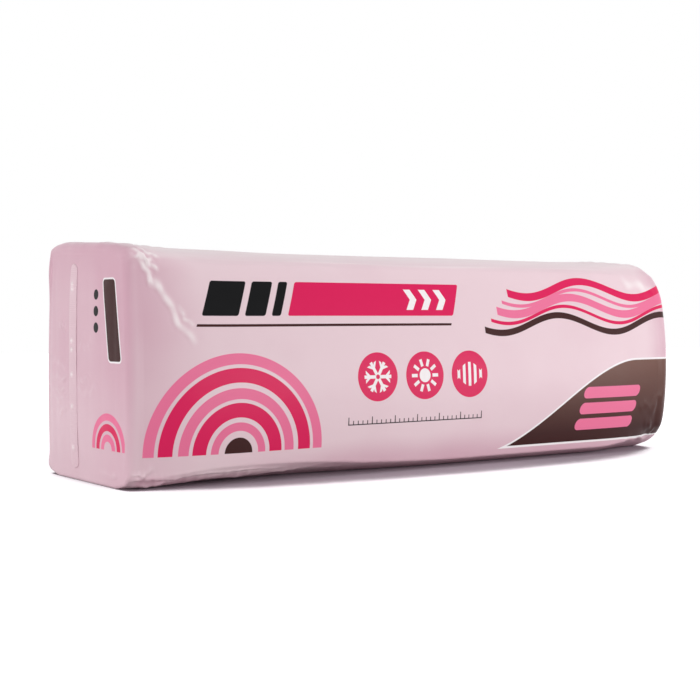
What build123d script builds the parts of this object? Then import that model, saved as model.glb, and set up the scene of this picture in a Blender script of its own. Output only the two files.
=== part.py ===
"""A sealed film bag of compressed fiberglass batts, lying on its long narrow side.

X runs along the batts, Y runs through the stack and Z is up.
The origin is on the floor, under the middle of the bag. Sizes are in millimetres.
"""
from build123d import *
from typing import NamedTuple
import os

# The stack: batts stand on edge and are pressed together through their thickness
batt_count = 8
batt_gap = 0.3

# The film, the small play between it and the batts, and the body of the bag
film_thickness = 0.5
film_play = 0.4
body_length = 1233.0

# Section at mid length: a flat foot, a belly that rises to the low corner, bulged sides, a crowned top
waist_half_width = 187.5
waist_height = 170.0
foot_set_in = 92.0
belly_set_in = 10.0
belly_rise = 26.0
shoulder_set_in = 45.0
crown_height = 388.0
crown_rise = 22.0
belly_radius = 38.0
shoulder_radius = 70.0

# Left end, which the flat cut ends of the batts hold square: crisp, a little taller than the middle
left_narrowing = 22.0
left_foot_set_in = 50.0
left_belly_set_in = 6.0
left_belly_rise = 10.0
left_shoulder_set_in = 15.0
left_crown_lift = 9.0
left_crown_rise = 13.0
left_belly_radius = 26.0
left_shoulder_radius = 24.0
left_edge_radius = 13.0

# Right end: slack, a little lower than the middle, with wide round shoulders
right_narrowing = 15.0
right_foot_set_in = 79.0
right_belly_set_in = 14.0
right_belly_rise = 23.0
right_shoulder_set_in = 27.0
right_crown_lift = -4.0
right_crown_rise = 16.0
right_belly_radius = 64.0
right_shoulder_radius = 88.0
right_edge_radius = 26.0

# Along each half: a taper from the middle section, then a straight land before the end's edge
taper_length = 170.0
taper_spans = 5
end_land = 12.0

# Fin seals: one heat-sealed seam down each end, two layers of film folded flat
seal_width = 30.0
seal_offset = 40.0
seal_margin = 8.0
seal_corner_radius = 6.0
seal_layers = 2


class Section(NamedTuple):
    """Sizes of one section across the bag: half widths, levels above the floor and corner radii."""

    waist: float
    foot: float
    belly: float
    belly_level: float
    shoulder: float
    shoulder_level: float
    crown_level: float
    belly_radius: float
    shoulder_radius: float


left_waist = waist_half_width - left_narrowing
right_waist = waist_half_width - right_narrowing
left_crown = crown_height + left_crown_lift
right_crown = crown_height + right_crown_lift

middle = Section(
    waist=waist_half_width,
    foot=waist_half_width - foot_set_in,
    belly=waist_half_width - belly_set_in,
    belly_level=belly_rise,
    shoulder=waist_half_width - shoulder_set_in,
    shoulder_level=crown_height - crown_rise,
    crown_level=crown_height,
    belly_radius=belly_radius,
    shoulder_radius=shoulder_radius,
)
left_end = Section(
    waist=left_waist,
    foot=left_waist - left_foot_set_in,
    belly=left_waist - left_belly_set_in,
    belly_level=left_belly_rise,
    shoulder=left_waist - left_shoulder_set_in,
    shoulder_level=left_crown - left_crown_rise,
    crown_level=left_crown,
    belly_radius=left_belly_radius,
    shoulder_radius=left_shoulder_radius,
)
right_end = Section(
    waist=right_waist,
    foot=right_waist - right_foot_set_in,
    belly=right_waist - right_belly_set_in,
    belly_level=right_belly_rise,
    shoulder=right_waist - right_shoulder_set_in,
    shoulder_level=right_crown - right_crown_rise,
    crown_level=right_crown,
    belly_radius=right_belly_radius,
    shoulder_radius=right_shoulder_radius,
)


def bag_section(station, end, bulge, inset):
    """Closed section across the bag at one station along X.

    Its sizes run from those of the given end, at a bulge of 0, to the middle ones, at a bulge of 1.
    It is drawn smaller by the inset all round.
    """
    size = Section(*[at_end + bulge * (at_middle - at_end) for at_end, at_middle in zip(end, middle)])
    foot = (size.foot - inset, inset)
    belly = (size.belly - inset, size.belly_level + inset)
    waist = (size.waist - inset, waist_height)
    shoulder = (size.shoulder - inset, size.shoulder_level - inset)
    with BuildSketch(Plane.YZ.offset(station)) as section:
        with BuildLine() as outline:
            Line((-foot[0], inset), foot)
            Line(foot, belly)
            ThreePointArc(belly, waist, shoulder)
            mirror(outline.edges()[1:], about=Plane.YZ)
            ThreePointArc(shoulder, (0, size.crown_level - inset), (-shoulder[0], shoulder[1]))
        make_face()
        levels = section.vertices().group_by(Axis.Y)
        fillet(levels[1], size.belly_radius - inset)
        levels = section.vertices().group_by(Axis.Y)
        fillet(levels[-1], size.shoulder_radius - inset)
    return section.sketch


def bag_half(end, edge_radius, inset, work_edges):
    """Half of the bag's form from its middle to an end at +X, smaller by an inset.

    It is a straight middle, a taper in short spans, and a straight land up to the flat end.
    The taper's bulge grows as a parabola that runs level into the middle.
    The edge of the end is worked by the operation given: fillet for film, chamfer for pressed wool.
    """
    land_station = body_length / 2 - edge_radius - end_land
    taper_station = land_station - taper_length
    taper_sections = []
    for step in range(taper_spans + 1):
        share = step / taper_spans
        station = taper_station + share * taper_length
        taper_sections.append(bag_section(station, end, 1 - share**2, inset))
    with BuildPart() as half:
        extrude(bag_section(0, end, 1, inset), amount=taper_station)
        loft(sections=taper_sections, ruled=True)
        extrude(bag_section(land_station, end, 0, inset), amount=edge_radius + end_land - inset)
        end_face = half.faces().sort_by(Axis.X)[-1]
        work_edges(end_face.edges(), edge_radius - inset)
    return half.part


def bag_form(inset, work_edges):
    """Solid of the whole bag's form, smaller by an inset, from its two unlike halves."""
    left_half = bag_half(left_end, left_edge_radius, inset, work_edges)
    right_half = bag_half(right_end, right_edge_radius, inset, work_edges)
    with BuildPart() as form:
        add(right_half)
        mirror(left_half, about=Plane.YZ)
    return form.part


os.makedirs("parts", exist_ok=True)

# The forms that share one shape: outside of the film, inside of the film, and the stack
outer_form = bag_form(0, fillet)
inner_form = bag_form(film_thickness, fillet)
stack_form = bag_form(film_thickness + film_play, chamfer)

# Film bag: a closed thin shell, with a fin seal laid flat down the middle of each end
with BuildPart() as bag_film:
    add(outer_form)
    for side, end, edge_radius in ((-1, left_end, left_edge_radius), (1, right_end, right_edge_radius)):
        seal_height = end.shoulder_level - 2 * (edge_radius + seal_margin)
        end_plane = Plane(
            origin=(side * body_length / 2, seal_offset, end.shoulder_level / 2),
            x_dir=(0, side, 0),
            z_dir=(side, 0, 0),
        )
        with BuildSketch(end_plane):
            RectangleRounded(seal_width, seal_height, seal_corner_radius)
        extrude(amount=seal_layers * film_thickness)
    add(inner_form, mode=Mode.SUBTRACT)
bag_film.part.label = "bag_film"
export_step(bag_film.part, "parts/bag_film.step")

# Batts: equal slices of the stack, standing side by side from the front of the bag to its back
stack_box = stack_form.bounding_box()
batt_pitch = stack_box.size.Y / batt_count
for number in range(1, batt_count + 1):
    batt_middle = stack_box.min.Y + (number - 0.5) * batt_pitch
    with BuildPart() as batt:
        add(stack_form)
        with Locations((0, batt_middle, stack_box.center().Z)):
            Box(stack_box.size.X, batt_pitch - batt_gap, stack_box.size.Z, mode=Mode.INTERSECT)
    batt.part.label = f"batt_{number}"
    export_step(batt.part, f"parts/batt_{number}.step")
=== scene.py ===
"""A sealed bag of fiberglass batts: its printed film, its fin seals, the wool inside and a plain studio."""

from typing import NamedTuple

import bpy
import numpy as np
from bpy.props import FloatProperty, FloatVectorProperty, PointerProperty
from bpy.types import Operator, Panel, PropertyGroup
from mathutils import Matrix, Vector


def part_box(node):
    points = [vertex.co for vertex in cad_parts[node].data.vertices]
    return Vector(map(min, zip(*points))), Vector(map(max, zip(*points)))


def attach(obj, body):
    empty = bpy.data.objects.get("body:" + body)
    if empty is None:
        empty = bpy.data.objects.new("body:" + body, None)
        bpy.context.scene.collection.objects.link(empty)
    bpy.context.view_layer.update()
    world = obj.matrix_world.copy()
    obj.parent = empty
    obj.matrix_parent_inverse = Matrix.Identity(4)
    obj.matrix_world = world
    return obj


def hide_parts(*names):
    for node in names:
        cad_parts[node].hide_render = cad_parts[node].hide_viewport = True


bl_info = {
    "name": "Bag of batts",
    "version": (1, 0, 0),
    "blender": (4, 5, 0),
    "location": "3D View > Sidebar > Batts",
    "description": "Builds the printed film bag of a bundle of batts over its CAD frame",
    "category": "Object",
}

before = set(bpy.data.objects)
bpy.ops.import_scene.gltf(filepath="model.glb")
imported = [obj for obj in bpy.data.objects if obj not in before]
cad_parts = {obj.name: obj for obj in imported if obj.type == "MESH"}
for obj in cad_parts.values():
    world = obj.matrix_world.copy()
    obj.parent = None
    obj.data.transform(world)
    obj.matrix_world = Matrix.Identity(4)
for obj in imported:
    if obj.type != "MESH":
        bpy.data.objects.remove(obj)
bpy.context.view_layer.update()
FILM_LOW, FILM_HIGH = [np.array(corner, dtype=float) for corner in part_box("bag_film")]
BATT_NODES = sorted(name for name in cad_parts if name.startswith("batt_"))

# Metres by which the print map of either end lies beside that of the long sides
END_SHIFT = 2.0


def ink(red, green, blue):
    """Linear colour of a printed colour given in steps of 0 to 255."""
    share = np.array([red, green, blue]) / 255.0
    linear = np.where(share <= 0.04045, share / 12.92, ((share + 0.055) / 1.055) ** 2.4)
    return tuple(float(value) for value in linear)


class BagSizes(PropertyGroup):
    """Sizes of the film bag. Those of the section are the CAD section's."""

    seal_layers: FloatProperty(
        name="Seal layers", description="How far the CAD seal stands off", default=0.001, unit="LENGTH"
    )
    waist: FloatProperty(
        name="Waist", description="Half the width at the waist", default=0.1875, unit="LENGTH"
    )
    waist_height: FloatProperty(
        name="Waist height", description="Level of the widest point", default=0.170, unit="LENGTH"
    )
    crown: FloatProperty(
        name="Crown", description="Height of the top at mid length", default=0.388, unit="LENGTH"
    )
    film_proud: FloatProperty(
        name="Film proud", description="Lift of the film off its CAD shell", default=0.0008, unit="LENGTH"
    )
    end_swell: FloatProperty(
        name="End swell", description="Swell at the middle of an end", default=0.004, unit="LENGTH"
    )
    undulation: FloatProperty(
        name="Undulation", description="Height of the film's slow unevenness", default=0.0011, unit="LENGTH"
    )
    fold_height: FloatProperty(
        name="Fold height", description="Scale of all folds in the film", default=1.0, min=0.0
    )
    seal_width: FloatProperty(
        name="Seal width", description="Width of a fin seal", default=0.030, unit="LENGTH"
    )
    seal_lift: FloatProperty(
        name="Seal lift", description="Lift of a fin seal's free edge", default=0.0006, unit="LENGTH"
    )
    seal_offset: FloatProperty(
        name="Seal offset", description="Fin seal's way behind the middle", default=0.040, unit="LENGTH"
    )


class BagColours(PropertyGroup):
    """Colours of the film, its print and the wool."""

    film: FloatVectorProperty(
        name="Film", description="Film lying on the wool", subtype="COLOR", default=ink(232, 207, 214)
    )
    # Paler film: partly film off the wool, partly painted highlight and sheen
    slack_and_highlight_film: FloatVectorProperty(
        name="Slack film", description="Film off the wool", subtype="COLOR", default=ink(244, 230, 233)
    )
    # Deeper film: partly film drawn tight over the wool, partly painted shade
    deep_and_shaded_film: FloatVectorProperty(
        name="Deep film", description="Film drawn over an edge", subtype="COLOR", default=ink(212, 170, 185)
    )
    chocolate: FloatVectorProperty(
        name="Chocolate ink", description="Brown print", subtype="COLOR", default=ink(58, 26, 25)
    )
    cocoa: FloatVectorProperty(
        name="Cocoa ink", description="Paler brown print", subtype="COLOR", default=ink(112, 76, 66)
    )
    magenta: FloatVectorProperty(
        name="Magenta ink", description="Strong pink print", subtype="COLOR", default=ink(218, 32, 90)
    )
    rose: FloatVectorProperty(
        name="Rose ink", description="Middle pink print", subtype="COLOR", default=ink(234, 118, 156)
    )
    black: FloatVectorProperty(
        name="Black ink", description="Black print", subtype="COLOR", default=ink(3, 3, 5)
    )
    white: FloatVectorProperty(
        name="White ink", description="White print", subtype="COLOR", default=ink(246, 240, 242)
    )
    wool: FloatVectorProperty(
        name="Wool", description="Pink glass wool", subtype="COLOR", default=ink(236, 158, 176)
    )


class StudioSettings(PropertyGroup):
    """Camera and light of the plain studio."""

    azimuth: FloatProperty(
        name="Azimuth",
        description="Camera's turn about the bag, from the front",
        default=np.radians(-35.09),
        unit="ROTATION",
    )
    tilt: FloatProperty(
        name="Tilt", description="How far the camera looks down", default=np.radians(1.522), unit="ROTATION"
    )
    distance: FloatProperty(
        name="Distance", description="Camera to the bag's middle", default=2.5997, unit="LENGTH"
    )
    side_shift: FloatProperty(
        name="Side shift", description="Camera's shift to its right", default=-0.0633, unit="LENGTH"
    )
    height: FloatProperty(name="Height", description="Camera's height", default=0.2798, unit="LENGTH")
    focal: FloatProperty(name="Lens", description="Focal length in millimetres", default=69.23)
    front_power: FloatProperty(
        name="Front light", description="Power of the front light", default=71.0, unit="POWER"
    )
    top_power: FloatProperty(
        name="Top light", description="Power of the top light", default=14.0, unit="POWER"
    )
    end_power: FloatProperty(
        name="End light", description="Power of the light on the left end", default=35.0, unit="POWER"
    )
    back_power: FloatProperty(
        name="Back light", description="Power of the light behind", default=34.0, unit="POWER"
    )
    sheen_power: FloatProperty(
        name="Sheen light", description="Power of the panel mirrored in the film", default=40.0, unit="POWER"
    )
    ambient: FloatProperty(name="Ambient", description="Strength of the light from all round", default=0.36)


class BattBag(PropertyGroup):
    """All settings of the bag of batts."""

    sizes: PointerProperty(type=BagSizes)
    colours: PointerProperty(type=BagColours)
    studio: PointerProperty(type=StudioSettings)


def smooth_step(value, low, high):
    """Share that rises from 0 at low to 1 at high, level at both."""
    share = np.clip((value - low) / (high - low), 0.0, 1.0)
    return share * share * (3.0 - 2.0 * share)


def circle_through(first, second, third):
    """Centre and radius of the circle through three points.

    The centre lies where the lines cross that halve the chords between the points at right angles.
    """
    (first_y, first_z), (second_y, second_z), (third_y, third_z) = first, second, third
    first_far = first_y**2 + first_z**2
    second_far = second_y**2 + second_z**2
    third_far = third_y**2 + third_z**2
    first_rise, second_rise, third_rise = second_z - third_z, third_z - first_z, first_z - second_z
    cross = 2 * (first_y * first_rise + second_y * second_rise + third_y * third_rise)
    centre_y = (first_far * first_rise + second_far * second_rise + third_far * third_rise) / cross
    first_run, second_run, third_run = third_y - second_y, first_y - third_y, second_y - first_y
    centre_z = (first_far * first_run + second_far * second_run + third_far * third_run) / cross
    return centre_y, centre_z, np.hypot(first_y - centre_y, first_z - centre_z)


class HalfSection:
    """Half of the bag's section, from the middle of the foot out and up to the middle of the crown.

    A flat foot, a straight belly, the arc of the low corner, a side arc through belly, waist and shoulder,
    the arc of the high corner and a crown arc. Each arc is tangent to its neighbours.
    Every size is an array with one row for each station along the bag.
    """

    def __init__(self, size, waist_level, inset):
        waist = size["waist"] - inset
        belly, belly_level = waist - size["belly_in"], size["belly_rise"] + inset
        crown, rise = size["crown"] - inset, size["rise"]
        shoulder, shoulder_level = waist - size["shoulder_in"], crown - rise
        self.foot = waist - size["foot_in"]
        self.floor = inset
        self.low_radius = size["low"] - inset
        self.high_radius = size["high"] - inset
        self.side_y, self.side_z, self.side_radius = circle_through(
            (belly, belly_level), (waist, waist_level), (shoulder, shoulder_level)
        )
        self.crown_radius = (shoulder**2 + rise**2) / (2 * rise)
        self.crown_z = crown - self.crown_radius
        self.place_low_corner(belly, belly_level)
        self.place_high_corner()

    def place_low_corner(self, belly, belly_level):
        """Place the low corner's arc, a radius in from the belly's line and from the side arc."""
        run = np.hypot(belly - self.foot, belly_level - self.floor)
        ahead_y = (belly - self.foot) / run
        ahead_z = (belly_level - self.floor) / run
        start_y = self.foot - self.low_radius * ahead_z - self.side_y
        start_z = self.floor + self.low_radius * ahead_y - self.side_z
        along = start_y * ahead_y + start_z * ahead_z
        apart = start_y**2 + start_z**2 - (self.side_radius - self.low_radius) ** 2
        way = np.sqrt(along**2 - apart) - along
        self.low_y = start_y + way * ahead_y + self.side_y
        self.low_z = start_z + way * ahead_z + self.side_z
        self.belly_turn = np.arctan2(-ahead_y, ahead_z)
        self.low_turn = np.arctan2(self.low_z - self.side_z, self.low_y - self.side_y)

    def place_high_corner(self):
        """Place the high corner's arc, a radius in from the side arc and from the crown arc."""
        near = self.side_radius - self.high_radius
        far = self.crown_radius - self.high_radius
        apart = np.hypot(self.side_y, self.side_z - self.crown_z)
        along = (near**2 - far**2 + apart**2) / (2 * apart)
        aside = np.sqrt(near**2 - along**2)
        unit_y = -self.side_y / apart
        unit_z = (self.crown_z - self.side_z) / apart
        turn = np.where(unit_y - unit_z > 0, 1.0, -1.0)
        self.high_y = self.side_y + along * unit_y - turn * aside * unit_z
        self.high_z = self.side_z + along * unit_z + turn * aside * unit_y
        self.high_turn = np.arctan2(self.high_z - self.side_z, self.high_y - self.side_y)
        self.crown_turn = np.arctan2(self.high_z - self.crown_z, self.high_y)

    def points(self, counts, low_pull, high_pull, low_kept):
        """Half width and height along the half section, with a count of points for each of its six lines.

        A pull of 1 draws a corner's arc out to the sharp corner of its two tangents, and 0 leaves it round.
        A first share of the low corner's arc, next to the belly, may be kept round.
        """
        spans = [np.arange(count) / count for count in counts[:-1]]
        spans.append(np.linspace(0.0, 1.0, counts[-1]))
        quarter = np.pi / 2
        arcs = (
            (self.low_y, self.low_z, self.low_radius, self.belly_turn, self.low_turn, low_pull, low_kept),
            (self.side_y, self.side_z, self.side_radius, self.low_turn, self.high_turn, 0.0, 0.0),
            (self.high_y, self.high_z, self.high_radius, self.high_turn, self.crown_turn, high_pull, 0.0),
            (0.0, self.crown_z, self.crown_radius, self.crown_turn, quarter, 0.0, 0.0),
        )
        belly_end_y = self.low_y + self.low_radius * np.cos(self.belly_turn)
        belly_end_z = self.low_z + self.low_radius * np.sin(self.belly_turn)
        widths = [self.foot * spans[0], self.foot + (belly_end_y - self.foot) * spans[1]]
        heights = [self.floor + 0.0 * widths[0], self.floor + (belly_end_z - self.floor) * spans[1]]
        for (centre_y, centre_z, radius, start, stop, pull, kept), span in zip(arcs, spans[2:]):
            angle = start + (stop - start) * span
            half_turn = 0.5 * np.abs(stop - start) * (1.0 - kept)
            pulled = np.clip((span - kept) / (1.0 - kept), 0.0, 1.0)
            to_edge = half_turn * (1.0 - np.abs(2.0 * pulled - 1.0))
            radius = radius * (1.0 + pull * (1.0 / np.cos(to_edge) - 1.0))
            widths.append(centre_y + radius * np.cos(angle))
            heights.append(centre_z + radius * np.sin(angle))
        return np.concatenate(widths, axis=1), np.concatenate(heights, axis=1)


# Sizes of the section in metres, as in the CAD: how far foot, belly and shoulder are set in from the waist,
# how far belly and crown rise, how far an end is narrowed and lifted, and the radii of the low corner,
# the high corner and the end's edge
MIDDLE = dict(
    foot_in=0.092, belly_in=0.010, belly_rise=0.026, shoulder_in=0.045, rise=0.022,
    narrowing=0.0, lift=0.0, low=0.038, high=0.070,
)
LEFT_END = dict(
    foot_in=0.050, belly_in=0.006, belly_rise=0.010, shoulder_in=0.015, rise=0.013,
    narrowing=0.022, lift=0.009, low=0.026, high=0.024, edge=0.013,
)
RIGHT_END = dict(
    foot_in=0.079, belly_in=0.014, belly_rise=0.023, shoulder_in=0.027, rise=0.016,
    narrowing=0.015, lift=-0.004, low=0.064, high=0.088, edge=0.026,
)
TAPER_LENGTH = 0.170
END_LAND = 0.012

# Points along each line of the half section from foot to crown, rings round an end's edge and on its flat
FRONT_COUNTS = (6, 12, 26, 60, 22, 15)
BACK_COUNTS = (6, 8, 16, 48, 14, 13)
FRONT_COLUMNS = sum(FRONT_COUNTS)
EDGE_RINGS = 9
CAP_RINGS = 52


class Rings(NamedTuple):
    """Rings round the bag from its left end to its right, with a row of each array for each ring.

    A ring has a station along the bag, an inset where it lies on the rolled edge of an end,
    a share of the end's outline where it lies on the flat, and the edge radius of the nearer end.
    """

    station: np.ndarray
    inset: np.ndarray
    shrink: np.ndarray
    edge: np.ndarray


def bag_rings(half_length):
    """Rings of the film bag.

    On a flat end the rings shrink towards its middle, and round its edge they follow a quarter circle.
    Between the edges they stand closer near the ends, most of all at the left, where the film is most folded.
    """
    left, right = LEFT_END["edge"], RIGHT_END["edge"]
    quarter = np.linspace(0.0, np.pi / 2, EDGE_RINGS)
    body = np.concatenate(
        [
            np.arange(-half_length + left, -0.54, 0.0021)[1:],
            np.arange(-0.54, -0.40, 0.0034),
            np.arange(-0.40, 0.44, 0.0066),
            np.arange(0.44, half_length - right, 0.0042)[:-1],
        ]
    )
    cap = np.linspace(0.03, 1.0, CAP_RINGS, endpoint=False)
    flat = np.ones_like(cap)
    station = np.concatenate(
        [
            -half_length * flat,
            -half_length + left * (1 - np.sin(quarter[::-1])),
            body,
            half_length - right * (1 - np.sin(quarter)),
            half_length * flat,
        ]
    )
    inset = np.concatenate(
        [
            left * flat,
            left * (1 - np.cos(quarter[::-1])),
            0.0 * body,
            right * (1 - np.cos(quarter)),
            right * flat,
        ]
    )
    shrink = np.concatenate([cap, np.ones(len(station) - 2 * len(cap)), cap[::-1]])
    edge = np.where(station < 0, left, right)
    return Rings(*[values[:, None] for values in (station, inset, shrink, edge)])


def fold(across, along, start, stop, width, height):
    """Height of one fold in the film.

    A round ridge with a shallow valley on one side follows the line from start to stop.
    It wanders aside in a slow wave, swells and sinks on its way, and fades out towards both ends of the line.
    """
    run, climb = stop[0] - start[0], stop[1] - start[1]
    length = np.hypot(run, climb)
    share = np.clip(((across - start[0]) * run + (along - start[1]) * climb) / length**2, 0.0, 1.0)
    aside = ((across - start[0]) * climb - (along - start[1]) * run) / length
    turn = 90.0 * start[0] + 60.0 * start[1]
    aside = aside + width * (0.7 * np.sin(7.0 * share + turn) + 0.4 * np.sin(17.0 * share + 2.0 * turn))
    height = height * (1.0 + 0.3 * np.sin(23.0 * share + turn))
    ridge = np.exp(-((aside / width) ** 2)) - 0.3 * np.exp(-(((aside - 1.7 * width) / (0.9 * width)) ** 2))
    return height * ridge * np.sqrt(np.clip(4 * share * (1 - share), 0.0, 1.0))


def slow_unevenness(across, along, seed, count, longest, shortest):
    """Unevenness between 0 and 1: a sum of sine waves of seeded directions, lengths and phases."""
    chance = np.random.default_rng(seed)
    total = np.zeros_like(across)
    for length in np.geomspace(longest, shortest, count):
        heading, phase = chance.uniform(0, 2 * np.pi, 2)
        total += length * np.sin(
            2 * np.pi / length * (across * np.cos(heading) + along * np.sin(heading)) + phase
        )
    total -= total.min()
    return total / total.max()


def crumple(across, along, seed, longest, shortest):
    """Sharp crumples between 0 and 1: seeded sine waves folded at nil, so that each crest is a crease."""
    chance = np.random.default_rng(seed)
    total = np.zeros_like(across)
    for length in np.geomspace(longest, shortest, 5):
        heading, phase = chance.uniform(0, 2 * np.pi, 2)
        wave = np.sin(np.pi / length * (across * np.cos(heading) + along * np.sin(heading)) + phase)
        total += length * (1.0 - np.abs(wave)) ** 1.5
    return total / total.max()


# Folds of the film along the front, as start and stop in metres along the bag and up its girth,
# then width and height
SIDE_FOLDS = (
    ((-0.603, 0.386), (-0.560, 0.350), 0.0034, 0.0024),
    ((-0.599, 0.372), (-0.571, 0.366), 0.0030, 0.0018),
    ((-0.592, 0.392), (-0.553, 0.371), 0.0040, 0.0020),
    ((-0.600, 0.374), (-0.558, 0.314), 0.0050, 0.0026),
    ((-0.574, 0.338), (-0.504, 0.230), 0.0056, 0.0021),
    ((-0.532, 0.292), (-0.506, 0.258), 0.0040, 0.0014),
    ((-0.612, 0.014), (-0.572, 0.034), 0.0032, 0.0018),
    ((-0.613, 0.031), (-0.584, 0.017), 0.0028, 0.0016),
    ((-0.606, 0.002), (-0.525, 0.010), 0.0040, 0.0018),
    ((-0.604, 0.019), (-0.340, 0.020), 0.0030, 0.0014),
    ((-0.470, -0.004), (-0.300, 0.004), 0.0060, 0.0016),
    ((-0.520, 0.384), (0.570, 0.382), 0.0050, 0.0010),
    ((-0.600, 0.436), (-0.500, 0.470), 0.0060, 0.0018),
    ((-0.598, 0.486), (-0.470, 0.500), 0.0075, 0.0018),
    ((0.470, 0.446), (0.600, 0.420), 0.0080, 0.0020),
    ((0.500, 0.490), (0.602, 0.478), 0.0075, 0.0018),
    ((0.500, 0.362), (0.600, 0.300), 0.0110, 0.0020),
    ((0.520, 0.084), (0.606, 0.112), 0.0110, 0.0020),
    ((0.540, 0.050), (0.604, 0.046), 0.0090, 0.0024),
    ((0.470, 0.020), (0.596, 0.028), 0.0070, 0.0022),
)

# Folds of the film along the back, which hangs a little looser, in metres along it and up from its foot
BACK_FOLDS = (
    ((-0.606, 0.376), (-0.530, 0.280), 0.0050, 0.0028),
    ((-0.596, 0.360), (-0.470, 0.200), 0.0075, 0.0024),
    ((-0.606, 0.250), (-0.550, 0.215), 0.0050, 0.0014),
    ((-0.608, 0.020), (-0.500, 0.085), 0.0055, 0.0030),
    ((-0.604, 0.050), (-0.450, 0.150), 0.0085, 0.0020),
    ((-0.420, 0.022), (0.320, 0.026), 0.0060, 0.0022),
    ((-0.400, 0.384), (0.440, 0.380), 0.0060, 0.0012),
    ((-0.600, 0.440), (-0.480, 0.466), 0.0065, 0.0020),
    ((-0.300, 0.500), (0.150, 0.480), 0.0120, 0.0012),
    ((0.480, 0.470), (0.600, 0.450), 0.0080, 0.0022),
    ((0.520, 0.425), (0.602, 0.405), 0.0065, 0.0018),
    ((0.470, 0.330), (0.600, 0.255), 0.0080, 0.0030),
    ((0.500, 0.362), (0.604, 0.315), 0.0055, 0.0026),
    ((0.500, 0.046), (0.602, 0.100), 0.0065, 0.0030),
    ((0.430, 0.090), (0.596, 0.150), 0.0095, 0.0020),
    ((0.520, 0.205), (0.604, 0.212), 0.0060, 0.0016),
)

# Folds of the film on the left end, as start and stop in metres across it and up
LEFT_END_FOLDS = (
    ((0.058, 0.262), (0.100, 0.258), 0.0050, 0.0016),
    ((0.058, 0.192), (0.145, 0.200), 0.0050, 0.0013),
    ((0.058, 0.174), (0.150, 0.166), 0.0045, 0.0016),
    ((0.058, 0.154), (0.140, 0.146), 0.0042, 0.0013),
    ((0.058, 0.133), (0.130, 0.138), 0.0045, 0.0011),
    ((0.058, 0.120), (0.110, 0.112), 0.0040, 0.0011),
    ((0.020, 0.150), (-0.060, 0.156), 0.0060, 0.0012),
    ((0.020, 0.172), (-0.030, 0.168), 0.0045, 0.0010),
    ((0.020, 0.222), (-0.040, 0.230), 0.0060, 0.0010),
    ((-0.135, 0.018), (-0.060, 0.020), 0.0045, 0.0020),
)

# Folds of the film on the right end, drawn in by its looser gather
RIGHT_END_FOLDS = (
    ((0.050, 0.300), (0.120, 0.335), 0.0080, 0.0024),
    ((0.026, 0.310), (-0.100, 0.340), 0.0080, 0.0022),
    ((0.058, 0.250), (0.125, 0.268), 0.0070, 0.0016),
    ((0.022, 0.236), (-0.110, 0.250), 0.0070, 0.0018),
    ((0.050, 0.090), (0.120, 0.060), 0.0080, 0.0022),
    ((0.028, 0.100), (-0.110, 0.070), 0.0080, 0.0024),
)


# How the film departs from its CAD form, in metres: right of the middle its belly drops and its foot spreads,
# near the left end its belly drops, at the back left its top lifts, and it never lies lower than the last
SETTLED_DROP = 0.011
SETTLED_SPREAD = 0.030
LEFT_DROP = 0.0085
BACK_LIFT = 0.0128
FLOOR_CLEARANCE = 0.0003

# Heights of the crumples and of the slow forms of the film, in metres
HEM_CRUMPLE = 0.0025
CORNER_CRUMPLE = 0.0024
END_RIBS = 0.0006
TOP_RIBS = 0.0008
FULL_TOP_LEFT = 0.0026
FULL_TOP_RIGHT = 0.0040
FULL_BACK = 0.0030
FULL_RIGHT = 0.0036


def film_half_length(sizes):
    """Half the length of the bag over its film, without its seals."""
    return 0.5 * float(FILM_HIGH[0] - FILM_LOW[0]) - sizes.seal_layers


def bell(value, middle, width):
    """Bell curve of height 1."""
    return np.exp(-(((value - middle) / width) ** 2))


def section_sizes(rings, half_length, sizes):
    """Sizes of the section at each ring: those of the middle, drawn to those of either end by a parabola.

    Right of the middle the bag has settled, with a lower belly and a wider foot.
    Near the left end its belly is drawn down as well.
    """
    station = rings.station
    taper_start = half_length - rings.edge - END_LAND - TAPER_LENGTH
    share = np.clip((np.abs(station) - taper_start) / TAPER_LENGTH, 0.0, 1.0)
    bulge = 1.0 - share**2
    size = {}
    for key, middle in MIDDLE.items():
        end = np.where(station < 0, LEFT_END[key], RIGHT_END[key])
        size[key] = end * (1.0 - bulge) + middle * bulge
    settled = smooth_step(station, -0.35, 0.05) * (1.0 - smooth_step(station, 0.40, 0.56))
    drawn_down = smooth_step(station, -0.612, -0.560) * (1.0 - smooth_step(station, -0.48, -0.20))
    size["belly_rise"] = size["belly_rise"] - SETTLED_DROP * settled - LEFT_DROP * drawn_down
    size["foot_in"] = size["foot_in"] - SETTLED_SPREAD * settled
    size["waist"] = sizes.waist - size["narrowing"]
    size["crown"] = sizes.crown + size["lift"]
    return size


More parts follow.
